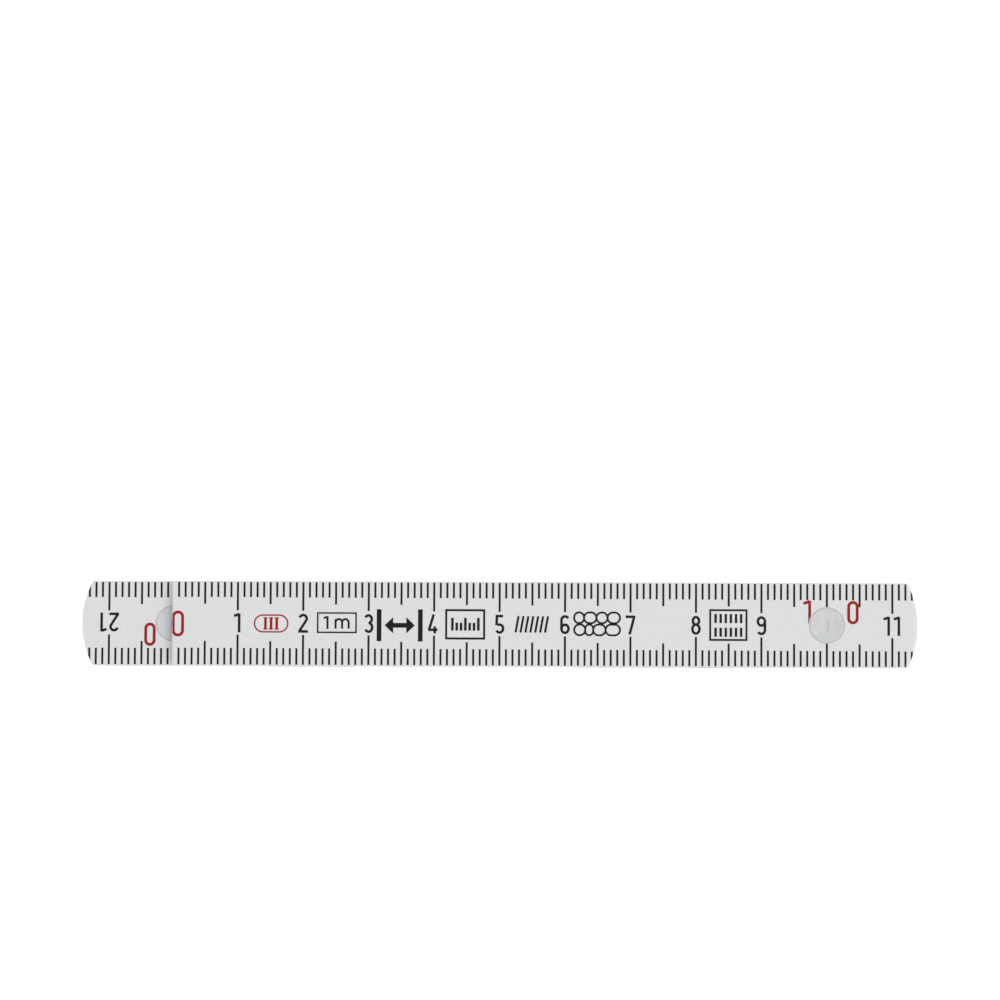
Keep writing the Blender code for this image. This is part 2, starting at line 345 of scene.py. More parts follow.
def turned_mesh(name, profile, steps):
    """A solid turned about Z from (radius, height) points that run from pole to pole, top first."""
    vertices = [(0, 0, profile[0][1])]
    for radius, height in profile[1:-1]:
        angles = span(0, 2 * pi, steps)[:-1]
        vertices += [(radius * cos(angle), radius * sin(angle), height) for angle in angles]
    vertices.append((0, 0, profile[-1][1]))
    faces = []
    last = len(vertices) - 1
    rings = len(profile) - 2
    for i in range(steps):
        j = (i + 1) % steps
        faces.append((0, 1 + i, 1 + j))
        for ring in range(rings - 1):
            upper, lower = 1 + ring * steps, 1 + (ring + 1) * steps
            faces.append((upper + i, lower + i, lower + j, upper + j))
        bottom = 1 + (rings - 1) * steps
        faces.append((bottom + i, last, bottom + j))
    return mesh_from(name, vertices, faces)


def bar_mesh(name, length, width, low, high):
    """A bar along X, centred on the origin in plan."""
    work = bmesh.new()
    bmesh.ops.create_cube(work, size=1.0)
    bmesh.ops.scale(work, vec=(length, width, high - low), verts=work.verts)
    bmesh.ops.translate(work, vec=(0, 0, (low + high) / 2), verts=work.verts)
    mesh = bpy.data.meshes.new(name)
    work.to_mesh(mesh)
    work.free()
    return mesh


def combine(mesh, steps):
    """The mesh after a run of Booleans, each given as (operation, tool mesh, place)."""
    link = bpy.context.scene.collection.objects.link
    base = bpy.data.objects.new("base", mesh)
    link(base)
    tools = []
    for operation, tool_mesh, place in steps:
        tool = bpy.data.objects.new("tool", tool_mesh)
        tool.matrix_world = place
        link(tool)
        tools.append(tool)
        modifier = base.modifiers.new("Boolean", "BOOLEAN")
        modifier.operation = operation
        modifier.object = tool
    graph = bpy.context.evaluated_depsgraph_get()
    result = bpy.data.meshes.new_from_object(base.evaluated_get(graph))
    for obj in [base, *tools]:
        bpy.data.objects.remove(obj)
    return result


def boss_profile(clearance=0.0):
    """A boss with a sloping flank, or with a clearance the recess round it. z = 0 is the face."""
    slope = (BOSS_RADIUS - BOSS_TOP_RADIUS) / BOSS_HEIGHT
    base = BOSS_RADIUS + slope * OVERRUN + clearance
    top = BOSS_TOP_RADIUS + clearance
    rounding = BOSS_ROUNDING
    return [
        (0, BOSS_HEIGHT),
        (top - rounding, BOSS_HEIGHT),
        (top - 0.3 * rounding, BOSS_HEIGHT - 0.3 * rounding),
        (top + slope * rounding, BOSS_HEIGHT - rounding),
        (base, -OVERRUN),
        (0, -OVERRUN),
    ]


def boss_mesh():
    """A boss whose two sides are cut off where the section's long edges are."""
    boss = turned_mesh("boss", boss_profile(), BOSS_STEPS)
    width = WIDTH - 2 * BOSS_SIDE_INSET
    slab = bar_mesh("slab", 4 * BOSS_RADIUS, width, -2 * OVERRUN, BOSS_HEIGHT + OVERRUN)
    return combine(boss, [("INTERSECT", slab, Matrix())])


def seat_profile():
    """The hole that a rivet and its washer lie in. z = 0 is the front of the upper section."""
    head = HEAD_RADIUS + HEAD_GAP
    bore = SHANK_RADIUS + SEAT_CLEARANCE
    tail = TAIL_RADIUS + HEAD_GAP
    bottom = -LAYER_PITCH - THICKNESS
    return [
        (0, OVERRUN),
        (head + OVERRUN, OVERRUN),
        (head + HEAD_ROUNDING, 0),
        (head, -HEAD_ROUNDING),
        (head, -COUNTERBORE_DEPTH),
        (bore, -COUNTERBORE_DEPTH),
        (bore, bottom + TAIL_LENGTH),
        (tail, bottom),
        (tail, bottom - OVERRUN),
        (0, bottom - OVERRUN),
    ]


def rivet_profile():
    """Dished head, shank, and a staked tail. z = 0 is the front of the upper section."""
    bottom = -LAYER_PITCH - THICKNESS
    rim = HEAD_RADIUS - HEAD_ROUNDING
    dish = [(rim * r, -HEAD_DISH * (1 - r**2)) for r in (0.25, 0.5, 0.75, 0.9, 1)]
    tail = [(TAIL_RADIUS * r, bottom + TAIL_DISH * (1 - r**2)) for r in (1, 0.85, 0.6, 0.3)]
    return [
        (0, -HEAD_DISH),
        *dish,
        (HEAD_RADIUS - 0.3 * HEAD_ROUNDING, -0.3 * HEAD_ROUNDING),
        (HEAD_RADIUS, -HEAD_ROUNDING),
        (HEAD_RADIUS, -HEAD_THICKNESS),
        (SHANK_RADIUS, -HEAD_THICKNESS),
        (SHANK_RADIUS, bottom + TAIL_LENGTH),
        *tail,
        (0, bottom + TAIL_DISH),
    ]


def at(x, z=0.0, angle=0.0):
    """A place on the section's middle line, turned about Z."""
    return Matrix.Translation((x, 0, z)) @ Matrix.Rotation(angle, 4, "Z")


def section_mesh(number):
    """A section in its own frame, with all that is moulded or cut in it."""
    is_first = number == 1
    is_last = number == SECTION_COUNT
    outline = section_outline(near_round=not is_first, far_round=not is_last)
    plate = plate_mesh(outline, FIRST_END_ROUNDING if is_first else RIM_ROUNDING)
    seat = turned_mesh("seat", seat_profile(), RIVET_STEPS)
    pin_profile = [
        (0, EJECTOR_DEPTH),
        (EJECTOR_RADIUS, EJECTOR_DEPTH),
        (EJECTOR_RADIUS, -EJECTOR_DEPTH),
        (0, -EJECTOR_DEPTH),
    ]
    pin = turned_mesh("pin", pin_profile, RIVET_STEPS)
    steps = []
    if not is_first:
        length, width, height = RIB_SIZE
        boss = boss_mesh()
        rib = bar_mesh("rib", length, width, BOSS_HEIGHT / 2, BOSS_HEIGHT + height)
        steps += [
            ("UNION", boss, at(0, THICKNESS)),
            ("UNION", rib, at(0, THICKNESS)),
            ("DIFFERENCE", seat, at(0, THICKNESS + LAYER_PITCH, FACET_TURN)),
            ("DIFFERENCE", pin, at(-EJECTOR_REACH, 0)),
        ]
    if not is_last:
        length, width, depth = GROOVE_SIZE
        recess = turned_mesh("recess", boss_profile(BOSS_CLEARANCE), BOSS_STEPS)
        groove = bar_mesh("groove", length, width, -OVERRUN, BOSS_HEIGHT + depth)
        steps += [
            ("DIFFERENCE", recess, at(PIVOT_PITCH)),
            ("DIFFERENCE", groove, at(PIVOT_PITCH)),
            ("DIFFERENCE", groove, at(PIVOT_PITCH, angle=pi / 2)),
            ("DIFFERENCE", seat, at(PIVOT_PITCH, THICKNESS, FACET_TURN)),
            ("DIFFERENCE", pin, at(PIVOT_PITCH + EJECTOR_REACH, THICKNESS)),
        ]
    return combine(plate, steps)


def rivet_mesh():
    """A rivet with the long dimple that its mould's gate leaves across the head."""
    width, length, depth = GATE_MARK
    rivet = turned_mesh("rivet", rivet_profile(), RIVET_STEPS)
    ball = [(cos(a), sin(a)) for a in span(pi / 2, -pi / 2, GATE_STEPS)]
    gate = turned_mesh("gate", [(0, 1), *ball[1:-1], (0, -1)], 2 * GATE_STEPS)
    size = Matrix.Diagonal((width / 2, length / 2, depth, 1))
    place = at(0, GATE_LIFT - HEAD_DISH) @ size @ at(0, 0, FACET_TURN)
    return combine(rivet, [("DIFFERENCE", gate, place)])


# ---------------------------------------------------------------- strokes of ink


def ellipse(x, y, across, up, start, end):
    """Points along part of an ellipse. Its angles are in degrees."""
    steps = max(2, round(abs(end - start) / 90 * CURVE_STEPS))
    angles = span(radians(start), radians(end), steps)
    return [Vector((x + across * cos(a), y + up * sin(a))) for a in angles]


def line(*points):
    return [Vector(point) for point in points]


def upright(x, low, high, width):
    return ribbon(line((x, low), (x, high)), width)


def level(y, left, right, width):
    return ribbon(line((left, y), (right, y)), width)


def capsule(x, y, across, up):
    """A closed outline with straight sides and round ends, about its middle."""
    radius = min(across, up)
    dx, dy = across - radius, up - radius
    points = []
    for side_x, side_y, start in ((1, 1, 0), (-1, 1, 90), (-1, -1, 180), (1, -1, 270)):
        corner = (x + side_x * dx, y + side_y * dy)
        points += ellipse(*corner, radius, radius, start, start + 90)
    points = [p for p, q in zip(points, points[1:] + points[:1]) if (p - q).length > 1e-7]
    return points + points[:1]


def rectangle(x, y, across, up):
    """A closed outline about its middle."""
    corners = ((-across, -up), (across, -up), (across, up), (-across, up), (-across, -up))
    return [Vector((x + dx, y + dy)) for dx, dy in corners]


def ribbon(points, width):
    """A stroke of even width along a line, as quads. It closes up if it ends where it starts."""
    closes = (points[0] - points[-1]).length < 1e-9
    pairs = []
    for i, point in enumerate(points):
        before = points[i - 1] if i else (points[-2] if closes else None)
        after = points[i + 1] if i + 1 < len(points) else (points[1] if closes else None)
        runs = []
        if before is not None:
            runs.append((point - before).normalized())
        if after is not None:
            runs.append((after - point).normalized())
        along = sum(runs, Vector((0, 0))) / len(runs)
        offset = Vector((-along.y, along.x)) * (width / 2 / along.length_squared)
        pairs.append((point - offset, point + offset))
    return [[r1, r2, l2, l1] for (r1, l1), (r2, l2) in zip(pairs, pairs[1:])]


def figure_strokes(figure, w, h, t):
    """The centre lines of a figure about its middle.

    w and h are their half width and half height, and t is half the stroke's width. The figures'
    proportions are those of a plain round sans serif.
    """
    waist = 0.08 * h
    upper, lower = (h - waist) / 2, (h + waist) / 2
    if figure == 0:
        return [capsule(0, 0, w, h)]
    if figure == 1:
        stem = 0.67 * w
        flag = line((stem - 1.45 * w, h - 0.34 * w), (stem, h + 0.5 * t))
        return [line((stem, h + t), (stem, -h - t)), flag]
    if figure == 2:
        hook = ellipse(0, h - w, w, w, 165, -38)
        return [hook + line((-w, -h + 0.5 * t)), line((-w - t, -h), (w + t, -h))]
    if figure == 3:
        top = ellipse(-0.04 * w, waist + upper, 0.92 * w, upper, 155, -90)
        return [top, ellipse(0, waist - lower, w, lower, 90, -152)]
    if figure == 4:
        bar = -0.72 * h
        slope = line((0.1 * w, h + t), (-1.2 * w, bar))
        stem = line((0.42 * w, -0.3 * h), (0.42 * w, -h - t))
        return [slope, line((-1.45 * w, bar), (1.2 * w, bar)), stem]
    if figure == 5:
        bowl = ellipse(0, -h + 1.12 * w, w, 1.12 * w, 128, -150)
        stem = line((-0.75 * w, h + t), (-0.85 * w, bowl[0].y))
        return [bowl, line((w, h), (-0.75 * w, h)), stem]
    if figure == 6:
        bowl = ellipse(0, -h + 1.14 * w, w, 1.14 * w, 0, 360)
        stem = ellipse(0, h - w, w, w, 28, 180) + line((-w, -h + 1.14 * w))
        return [bowl[:-1] + bowl[:1], stem]
    if figure == 7:
        return [line((-w - t, h), (w + t, h)), line((w, h - 0.6 * t), (-0.25 * w, -h - t))]
    if figure == 8:
        top = ellipse(0, waist + upper, 0.88 * w, upper, 0, 360)
        bottom = ellipse(0, waist - lower, w, lower, 0, 360)
        return [top[:-1] + top[:1], bottom[:-1] + bottom[:1]]
    return [[-point for point in stroke] for stroke in figure_strokes(6, w, h, t)]


def figure_sides(figure, w, t):
    """How far a figure's space reaches to the left and right of its middle."""
    if figure == 1:
        return -0.78 * w, 1.3 * w
    if figure == 4:
        return -1.45 * w, 1.9 * w
    return -w - t, w + t


def number_strokes(number, x, y, style, pitch):
    """The strokes of a whole number, with its middle at x, y."""
    w, h, width = style
    figures = [int(character) for character in str(number)]
    centres = [pitch * i for i in range(len(figures))]
    left = centres[0] + figure_sides(figures[0], w, width / 2)[0]
    right = centres[-1] + figure_sides(figures[-1], w, width / 2)[1]
    shift = x - (left + right) / 2
    strokes = []
    for figure, centre in zip(figures, centres):
        place = Vector((centre + shift, y))
        for stroke in figure_strokes(figure, w, h, width / 2):
            strokes.append(ribbon([point + place for point in stroke], width))
    return strokes


# ---------------------------------------------------------------- clipping


def cut(polygon, point, inward):
    """What is left of a convex polygon on the inward side of a line through a point."""
    depths = [(corner - point).dot(inward) for corner in polygon]
    kept = []
    for i, (corner, depth) in enumerate(zip(polygon, depths)):
        j = (i + 1) % len(polygon)
        if depth >= 0:
            kept.append(corner)
        if depth * depths[j] < 0:
            kept.append(corner.lerp(polygon[j], depth / (depth - depths[j])))
    return kept


def clip(polygon, outline):
    """What is left of a convex polygon inside a convex outline that runs anticlockwise."""
    for a, b in zip(outline, outline[1:] + outline[:1]):
        edge = b - a
        polygon = cut(polygon, a, Vector((-edge.y, edge.x)))
        if len(polygon) < 3:
            return []
    return polygon


def clear_disc(polygon, centre, radius):
    """What is left of a small convex polygon outside a disc."""
    middle = sum(polygon, Vector((0, 0))) / len(polygon)
    outward = (middle - centre).normalized()
    return cut(polygon, centre + outward * radius, outward)


def slices(polygon_strip, parts):
    """A strip's quads cut across into shorter ones, so that each can follow a curve."""
    pieces = []
    for r1, r2, l2, l1 in polygon_strip:
        for i in range(parts):
            a, b = i / parts, (i + 1) / parts
            pieces.append([r1.lerp(r2, a), r1.lerp(r2, b), l1.lerp(l2, b), l1.lerp(l2, a)])
    return pieces


def diced(polygon, size):
    """A convex polygon cut up along a square grid."""
    pieces = [polygon]
    for direction in (Vector((1, 0)), Vector((0, 1))):
        strips = []
        for piece in pieces:
            depths = [corner.dot(direction) / size for corner in piece]
            for i in range(floor(min(depths)), ceil(max(depths))):
                strip = cut(piece, direction * i * size, direction)
                if strip:
                    strip = cut(strip, direction * (i + 1) * size, -direction)
                if len(strip) > 2:
                    strips.append(strip)
        pieces = strips
    return pieces


# ---------------------------------------------------------------- print on the faces


def ticks(first_mm, last_mm):
    """The scale's lines along both long edges, from one millimetre to another."""
    strokes = []
    for mm in range(first_mm, last_mm + 1):
        size = next(step for step in (10, 5, 1) if mm % step == 0)
        inner = TICK_INNER_ENDS[size]
        for side in (1, -1):
            points = line((mm * MM, side * inner), (mm * MM, side * TICK_REACH))
            strokes.append(slices(ribbon(points, TICK_WIDTH), TICK_PARTS))
    return strokes


def red_tens(ten, x):
    """The figures of a whole ten, on both sides of the rivet at x."""
    left, right, y = FIRST_TEN if ten == 1 else OTHER_TENS
    strokes = []
    for figure, middle in ((ten, x + left), (0, x + right)):
        for stroke in number_strokes(figure, middle, y, RED_FIGURE, RED_FIGURE_PITCH):
            strokes.append(slices(stroke, TENS_PARTS))
    return strokes


def end_number():
    """The rule's whole length at the end of the last section, in centimetres."""
    middle = PIVOT_PITCH - END_NUMBER_INSET
    return number_strokes(10 * SECTION_COUNT, middle, 0, RED_FIGURE, RED_FIGURE_PITCH)


def front_print(number):
    """The black and the red strokes on a section's front."""
    start = 10 * (number - 1)
    is_first = number == 1
    is_last = number == SECTION_COUNT
    pitch_mm = round(PIVOT_PITCH / MM)
    first_mm = 1 if is_first else JOINT_COVER_MM
    last_mm = pitch_mm - 1 if is_last else pitch_mm + END_REACH_MM
    black = ticks(first_mm, last_mm)
    for cm in range(1, 10 if is_last else 12):
        if cm != 10:
            black += number_strokes(start + cm, cm * 10 * MM, FIGURE_Y, BLACK_FIGURE, FIGURE_PITCH)
    red = []
    if is_first:
        red += number_strokes(0, *START_ZERO, ZERO_FIGURE, RED_FIGURE_PITCH)
        marks = first_section_marks()
        black += marks[0]
        red += marks[1]
    if is_last:
        red += end_number()
    else:
        red += red_tens(number, PIVOT_PITCH)
    return black, red


def back_print(number):
    """The black and the red strokes on a section's back, read with the rule turned over."""
    start = 10 * (number - 1)
    is_first = number == 1
    is_last = number == SECTION_COUNT
    pitch_mm = round(PIVOT_PITCH / MM)
    first_mm = 1 if is_first else -END_REACH_MM
    last_mm = pitch_mm - 1 if is_last else pitch_mm - JOINT_COVER_MM
    black = ticks(first_mm, last_mm)
    for cm in range(1 if is_first else -1, 10):
        if cm != 0:
            black += number_strokes(start + cm, cm * 10 * MM, FIGURE_Y, BLACK_FIGURE, FIGURE_PITCH)
    if is_first:
        red = number_strokes(0, *START_ZERO, ZERO_FIGURE, RED_FIGURE_PITCH)
    else:
        red = red_tens(number - 1, 0)
    if is_last:
        red += end_number()
    return black, red


def class_mark():
    """Accuracy class three, in an oval."""
    x, y, across, up, width = CLASS_OVAL
    bar_half, bar_line = CLASS_BAR
    serif_half, serif_line = CLASS_SERIF
    strokes = [ribbon(capsule(x, y, across, up), width)]
    for bar in (x - CLASS_BAR_PITCH, x, x + CLASS_BAR_PITCH):
        strokes.append(upright(bar, y - bar_half, y + bar_half, bar_line))
        for end in (y - CLASS_SERIF_Y, y + CLASS_SERIF_Y):
            strokes.append(level(end, bar - serif_half, bar + serif_half, serif_line))
    return strokes


def length_mark():
    """The rule's length, one metre, in a box."""
    x, y, across, up, width = LENGTH_BOX
    left, foot, stem, arch = LETTER_M
    stroke = LENGTH_FIGURE[2]
    strokes = [ribbon(rectangle(x, y, across, up), width)]
    strokes += number_strokes(1, LENGTH_FIGURE_X, y, LENGTH_FIGURE, FIGURE_PITCH)
    strokes.append(upright(left, foot, foot + stem + arch, stroke))
    for middle in (left + arch, left + 3 * arch):
        top = ellipse(middle, foot + stem, arch, arch, 180, 0)
        strokes.append(ribbon(top + line((middle + arch, foot)), stroke))
    return strokes


def arrow_mark():
    """A double arrow between two bars."""
    left, right = ARROW_BARS
    low, high = ARROW_Y - ARROW_BAR_HALF, ARROW_Y + ARROW_BAR_HALF
    length, half = ARROW_HEAD
    strokes = [upright(x, low, high, ARROW_LINE) for x in ARROW_BARS]
    strokes.append(level(ARROW_Y, left + ARROW_SHAFT_INSET, right - ARROW_SHAFT_INSET, ARROW_LINE))
    for tip, turn in ((left + ARROW_TIP_INSET, 1), (right - ARROW_TIP_INSET, -1)):
        back = tip + turn * length
        head = line((tip, ARROW_Y), (back, ARROW_Y - turn * half), (back, ARROW_Y + turn * half))
        strokes.append([head])
    return strokes


def boxed_scale_mark():
    """A box with a short scale in it."""
    x, y, across, up, width = SCALE_BOX
    left, foot = BOXED_SCALE_START
    strokes = [ribbon(rectangle(x, y, across, up), width)]
    for i in range(BOXED_SCALE_COUNT):
        top = foot + BOXED_SCALE_HEIGHTS[i % len(BOXED_SCALE_HEIGHTS)]
        strokes.append(upright(left + BOXED_SCALE_PITCH * i, foot, top, BOXED_SCALE_LINE))
    return strokes


def slanted_mark():
    """A row of slanted bars."""
    start, run = Vector(SLANT_START), Vector(SLANT_RUN)
    feet = [start + Vector((SLANT_PITCH * i, 0)) for i in range(SLANT_COUNT)]
    return [ribbon([foot, foot + run], SLANT_LINE) for foot in feet]


def capsule_mark():
    """Two rows of capsule outlines."""
    strokes = []
    for y, half_widths in CAPSULE_ROWS:
        left = CAPSULE_LEFT
        for half_mm in half_widths:
            half = half_mm * MM
            strokes.append(ribbon(capsule(left + half, y, half, CAPSULE_HALF), CAPSULE_LINE))
            left += 2 * half
    return strokes


def boxed_rows_mark():
    """A box with two rows of short bars."""
    x, y, across, up, width = ROWS_BOX
    half, bar_line = BOXED_ROWS_BAR
    strokes = [ribbon(rectangle(x, y, across, up), width)]
    for row in BOXED_ROWS:
        for i in range(BOXED_ROWS_COUNT):
            bar = BOXED_ROWS_LEFT + BOXED_ROWS_PITCH * i
            strokes.append(upright(bar, row - half, row + half, bar_line))
    return strokes


def first_section_marks():
    """The black and the red marks between the figures of the first section."""
    black = length_mark() + arrow_mark() + boxed_scale_mark()
    black += slanted_mark() + capsule_mark() + boxed_rows_mark()
    return black, class_mark()


def face_print(strokes, number, near_round, far_round, discs):
    """Strokes laid on a face, kept off its rims and off the discs of the rivets in it."""
    tilt = Matrix.Rotation(PRINT_TILT, 2)
    middle = Vector((PIVOT_PITCH / 2, 0))
    shift = Vector(PRINT_SHIFTS[number % 2])
    side = WIDTH / 2 - PRINT_SIDE_MARGIN
    outline = []
    for x, y, radius, angle in section_outline(near_round, far_round)[::2]:
        reach = radius - PRINT_END_MARGIN
        point = Vector((x + reach * cos(angle), y + reach * sin(angle)))
        outline.append(point)
    placed = []
    for stroke in strokes:
        polygons = []
        for polygon in stroke:
            polygon = [tilt @ (point - middle) + middle + shift for point in polygon]
            for centre, radius in discs:
                if min((point - centre).length for point in polygon) < radius:
                    polygon = clear_disc(polygon, centre, radius)
            for direction in (Vector((0, 1)), Vector((0, -1))):
                if polygon:
                    polygon = cut(polygon, -side * direction, direction)
            if polygon:
                polygon = clip(polygon, outline)
            if len(polygon) > 2:
                polygons.append(polygon)
        placed.append(polygons)
    return placed


def nose_drop(point):
    """How far the first section's front has curved down at a point near its round end."""
    out = point - Vector((PIVOT_PITCH, 0))
    if out.x < CORNER_START * abs(out.y):
        return 0.0
    rounding = RIM_ROUNDING + (FIRST_END_ROUNDING - RIM_ROUNDING) * out.x / out.length
    past = out.length - (END_RADIUS - rounding)
    return rounding - sqrt(rounding**2 - max(0, past) ** 2)


def bend(strokes):
    """Each stroke's polygons as corners in space, laid down over the first section's round end."""
    bent = []
    for stroke in strokes:
        polygons = []
        for polygon in stroke:
            if max(nose_drop(point) for point in polygon) > 0:
                polygons += diced(polygon, BENT_INK_CELL)
            else:
                polygons.append(polygon)
        bent.append([[Vector((*point, -nose_drop(point))) for point in p] for p in polygons])
    return bent


# ---------------------------------------------------------------- print on the long edges


def edge_capsules():
    across, up, width = EDGE_CAPSULE
    strokes = []
    for z in EDGE_CAPSULE_ROWS:
        for i in range(EDGE_CAPSULE_COUNT):
            x = EDGE_CAPSULE_LEFT + EDGE_CAPSULE_PITCH * i
            strokes.append(ribbon(capsule(x, z, across, up), width))
    return strokes


def edge_bars():
    """Upright bars whose widths follow an irregular pattern."""
    strokes = []
    x = EDGE_BAR_LEFT
    for i in range(EDGE_BAR_COUNT):
        width = EDGE_BAR_WIDTHS[(i * i + 3 * i) % len(EDGE_BAR_WIDTHS)]
        foot = EDGE_LONG_BAR_FOOT if i in EDGE_LONG_BARS else EDGE_BAR_FOOT
        strokes.append(upright(x, foot, EDGE_BAR_TOP, width))
        x += EDGE_BAR_PITCHES[i % 2]
    return strokes


def edge_slants():
    """Wide slanted bars, low and high in turn, over a row of dashes."""
    strokes = []
    start, foot = EDGE_SLANT_START
    for i in range(EDGE_SLANT_COUNT):
        x = start + EDGE_SLANT_PITCH * i
        top = (x + EDGE_SLANT_RUN, foot + EDGE_SLANT_RISES[i % 2])
        strokes.append(ribbon(line((x, foot), top), EDGE_SLANT_LINE))
    start, z = EDGE_DASH_START
    for i in range(EDGE_DASH_COUNT):
        x = start + EDGE_DASH_PITCH * i
        strokes.append(level(z, x, x + EDGE_DASH_LENGTH, EDGE_DASH_LINE))
    return strokes


def edge_rings():
    strokes = []
    for radius in EDGE_RING_RADII:
        ring = ellipse(*EDGE_RING_MIDDLE, radius, radius, 0, 360)
        strokes.append(ribbon(ring[:-1] + ring[:1], EDGE_RING_LINE))
    return strokes


def edge_print(strokes, number):
    """The part of the edge's strokes that lies on one section."""
    low = (SECTION_COUNT - number) * LAYER_PITCH
    high = low + THICKNESS
    kept = []
    for stroke in strokes:
        polygons = []
        for polygon in stroke:
            polygon = cut(polygon, Vector((0, low)), Vector((0, 1)))
            polygon = cut(polygon, Vector((0, high)), Vector((0, -1))) if polygon else []
            if len(polygon) > 2:
                polygons.append(polygon)
        kept.append(polygons)
    return kept


# ---------------------------------------------------------------- materials


def node_material(name, inputs=()):
    """A Principled material with its even values, as (socket, value), set on the shader itself."""
    material = bpy.data.materials.new(name)
    material.use_nodes = True
    shader = material.node_tree.nodes["Principled BSDF"]
    for socket, value in inputs:
        shader.inputs[socket].default_value = value
    return material, shader


def noise_node(tree, scale, detail, stretch=(1, 1, 1)):
    """Noise that stays put on the object. Scale is in lumps to the millimetre."""
    coordinates = tree.nodes.new("ShaderNodeTexCoord")
    mapping = tree.nodes.new("ShaderNodeMapping")
    mapping.inputs["Scale"].default_value = stretch
    noise = tree.nodes.new("ShaderNodeTexNoise")
    noise.inputs["Scale"].default_value = scale / MM
    noise.inputs["Detail"].default_value = detail
    tree.links.new(coordinates.outputs["Object"], mapping.inputs["Vector"])
    tree.links.new(mapping.outputs["Vector"], noise.inputs["Vector"])
    return noise


def colour_from(tree, source, socket, tones):
    """A colour between two tones that follows the middle of a noise's range."""
    ramp = tree.nodes.new("ShaderNodeValToRGB")
    for stop, position, tone in zip(ramp.color_ramp.elements, (0.35, 0.65), tones):
        stop.position = position
        stop.color = (*tone, 1)
    tree.links.new(source.outputs["Fac"], ramp.inputs["Fac"])
    tree.links.new(ramp.outputs["Color"], socket)


def value_from(tree, source, socket, low, high):
    """A value between two limits that follows the middle of a noise's range."""
    spread = tree.nodes.new("ShaderNodeMapRange")
    spread.inputs["From Min"].default_value = 0.3
    spread.inputs["From Max"].default_value = 0.7
    spread.inputs["To Min"].default_value = low
    spread.inputs["To Max"].default_value = high
    tree.links.new(source.outputs["Fac"], spread.inputs["Value"])
    tree.links.new(spread.outputs["Result"], socket)


def bump_from(tree, sources, shader, distance, strength):
    """Bumps from one or more noises, each laid on the one before."""
    last = None
    for source in sources:
        bump = tree.nodes.new("ShaderNodeBump")
        bump.inputs["Distance"].default_value = distance
        bump.inputs["Strength"].default_value = strength
        tree.links.new(source.outputs["Fac"], bump.inputs["Height"])
        if last:
            tree.links.new(last.outputs["Normal"], bump.inputs["Normal"])
        last = bump
    tree.links.new(last.outputs["Normal"], shader.inputs["Normal"])


def section_material():
    """White polyamide with short glass fibres: fine specks, and faint streaks along the flow."""
    material, shader = node_material("white_polyamide", [("IOR", 1.53)])
    tree = material.node_tree
    grain = noise_node(tree, scale=3.2, detail=3)
    streaks = noise_node(tree, scale=2.2, detail=4, stretch=(0.12, 1, 1))
    colour_from(tree, grain, shader.inputs["Base Color"], PLASTIC_TONES)
    value_from(tree, streaks, shader.inputs["Roughness"], low=0.46, high=0.6)
    bump_from(tree, [streaks, grain], shader, distance=0.01 * MM, strength=0.35)
    return material


def rivet_material():
    """Off-white acetal, satin and a little cloudy."""
    material, shader = node_material("acetal", [("IOR", 1.48)])
    tree = material.node_tree
    clouds = noise_node(tree, scale=0.9, detail=2)
    grain = noise_node(tree, scale=4, detail=2)
    colour_from(tree, clouds, shader.inputs["Base Color"], RIVET_TONES)
    value_from(tree, clouds, shader.inputs["Roughness"], low=0.34, high=0.44)
    bump_from(tree, [grain], shader, distance=0.006 * MM, strength=0.25)
    return material


def ink_material(name, tones):
    """Ink that covers a little unevenly, so that its tone and gloss vary."""
    material, shader = node_material(name, [("Specular IOR Level", 0.12)])
    tree = material.node_tree
    cover = noise_node(tree, scale=3.5, detail=3)
    colour_from(tree, cover, shader.inputs["Base Color"], tones)
    value_from(tree, cover, shader.inputs["Roughness"], low=0.42, high=0.58)
    bump_from(tree, [cover], shader, distance=0.004 * MM, strength=0.3)
    return material


def steel_material():
    """Spring steel with fine rolling marks."""
    material, shader = node_material("spring_steel", [("Metallic", 1)])
    tree = material.node_tree
    marks = noise_node(tree, scale=5, detail=3, stretch=(0.1, 1, 1))
    colour_from(tree, marks, shader.inputs["Base Color"], STEEL_TONES)
    value_from(tree, marks, shader.inputs["Roughness"], low=0.28, high=0.42)
    bump_from(tree, [marks], shader, distance=0.004 * MM, strength=0.3)
    return material


def floor_material():
    """White paper that is lit from behind a little."""
    glow = [("Emission Color", (1, 1, 1, 1)), ("Emission Strength", FLOOR_GLOW), ("Roughness", 0.9)]
    material, shader = node_material("floor_paper", glow)
    tree = material.node_tree
    fibres = noise_node(tree, scale=0.4, detail=4)
    colour_from(tree, fibres, shader.inputs["Base Color"], FLOOR_TONES)
    return material


# ---------------------------------------------------------------- pieces


def section_place(number):
    """From a section's own frame to the row frame, with the rule folded."""
    z = (SECTION_COUNT - number) * LAYER_PITCH
    if number % 2:
        return at(-PIVOT_X, z)
    return at(PIVOT_X, z, pi)


def add_piece(name, mesh, materials, body):
    """A mesh in the row frame as a visible piece that moves with a CAD body."""
    piece = bpy.data.objects.new(name, mesh)
    for material in materials:
        mesh.materials.append(material)
    bpy.context.scene.collection.objects.link(piece)
    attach(piece, body)
    return piece


def shade(piece):
    """Smooth round faces, crisp creases, and large flat faces that stay flat up to their rims."""
    piece.data.shade_smooth()
    piece.data.set_sharp_from_angle(angle=CREASE_ANGLE)
    weighted = piece.modifiers.new("Weighted normals", "WEIGHTED_NORMAL")
    weighted.keep_sharp = True


def add_section(number, material):
    mesh = section_mesh(number)
    mesh.transform(section_place(number))
    piece = add_piece(f"rule_section_{number:02}", mesh, [material], f"link_{number:02}")
    shade(piece)
    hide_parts(f"section_{number:02}")


